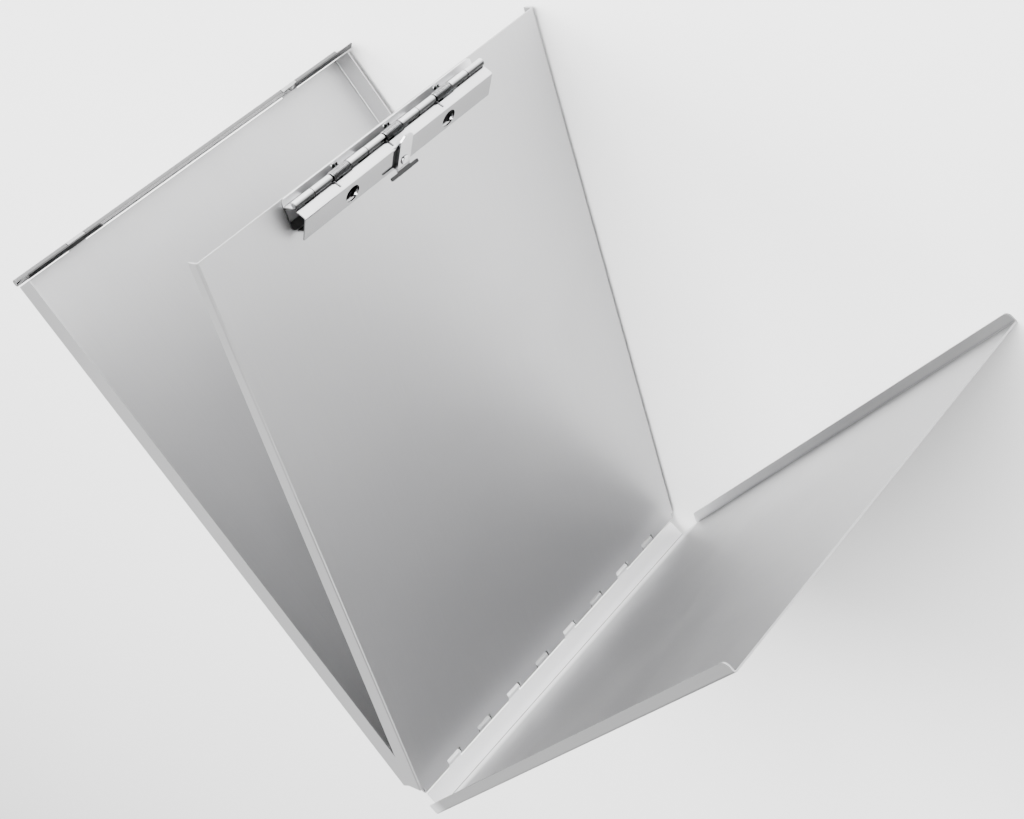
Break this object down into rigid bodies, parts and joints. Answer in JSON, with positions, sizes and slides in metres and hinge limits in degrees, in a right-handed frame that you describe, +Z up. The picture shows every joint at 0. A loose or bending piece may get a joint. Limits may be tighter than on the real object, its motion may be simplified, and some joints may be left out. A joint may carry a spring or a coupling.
{
  "type": "storage clipboard box",
  "caption": "Folded aluminium storage clipboard: a shallow tray with a latch flap, a writing board with a sprung clip, and a cover, on one rolled hinge.",
  "frame": {"origin": "centre of the tray's back, on its outside face", "axes": "+X along the tray from the hinge to the latch flap, +Y out of the tray's back, +Z up the hinge pin; the box stands open on its lower side flanges, board and cover towards -Y"},
  "size_m": [0.3364, 0.2997, 0.236],
  "materials": {
    "tray_sheet": "satin mill-finish aluminium sheet with a faint long grain",
    "board_sheet": "satin aluminium sheet with a faint long grain",
    "cover_sheet": "satin aluminium sheet with a faint long grain",
    "latch_sheet": "satin aluminium sheet",
    "pin_steel": "drawn steel wire, zinc plated",
    "clip_steel": "bright nickel-plated steel, softly brushed",
    "spring_steel": "nickel-plated spring wire"
  },
  "bodies": {
    "tray": {"tray": "tray_sheet", "hinge_pin": "pin_steel", "latch_pin": "pin_steel"},
    "board": {"writing_board": "board_sheet", "clip_base": "clip_steel", "base_rivets": "clip_steel", "clip_pin": "pin_steel", "clip_spring_1": "spring_steel", "clip_spring_2": "spring_steel", "clip_spring_3": "spring_steel"},
    "cover": {"cover": "cover_sheet"},
    "latch": {"latch_flap": "latch_sheet"},
    "jaw": {"clip_jaw": "clip_steel", "gripper": "clip_steel", "lift_lever": "clip_steel", "lever_rivet": "clip_steel"}
  },
  "joints": [
    {"name": "board_hinge", "type": "hinge", "parent": "tray", "child": "board", "pos_m": [-0.16148, -0.01305, 0], "axis": [0, 0, -1], "range_deg": [-25.7, 39.3]},
    {"name": "cover_hinge", "type": "hinge", "parent": "board", "child": "cover", "pos_m": [-0.16148, -0.01305, 0], "axis": [0, 0, -1], "range_deg": [-50.2, 64.8]},
    {"name": "latch_hinge", "type": "hinge", "parent": "tray", "child": "latch", "pos_m": [0.16003, -0.00185, 0], "axis": [0, 0, 1], "range_deg": [-5.5, 94.5]},
    {"name": "clip_hinge", "type": "hinge", "parent": "board", "child": "jaw", "pos_m": [0.12037, -0.15863, 0], "axis": [0, 0, 1], "range_deg": [0, 40], "stiffness_Nm_per_rad": 0.35, "springref_deg": -40.11, "deforming": ["clip_spring_1", "clip_spring_2", "clip_spring_3"]}
  ]
}
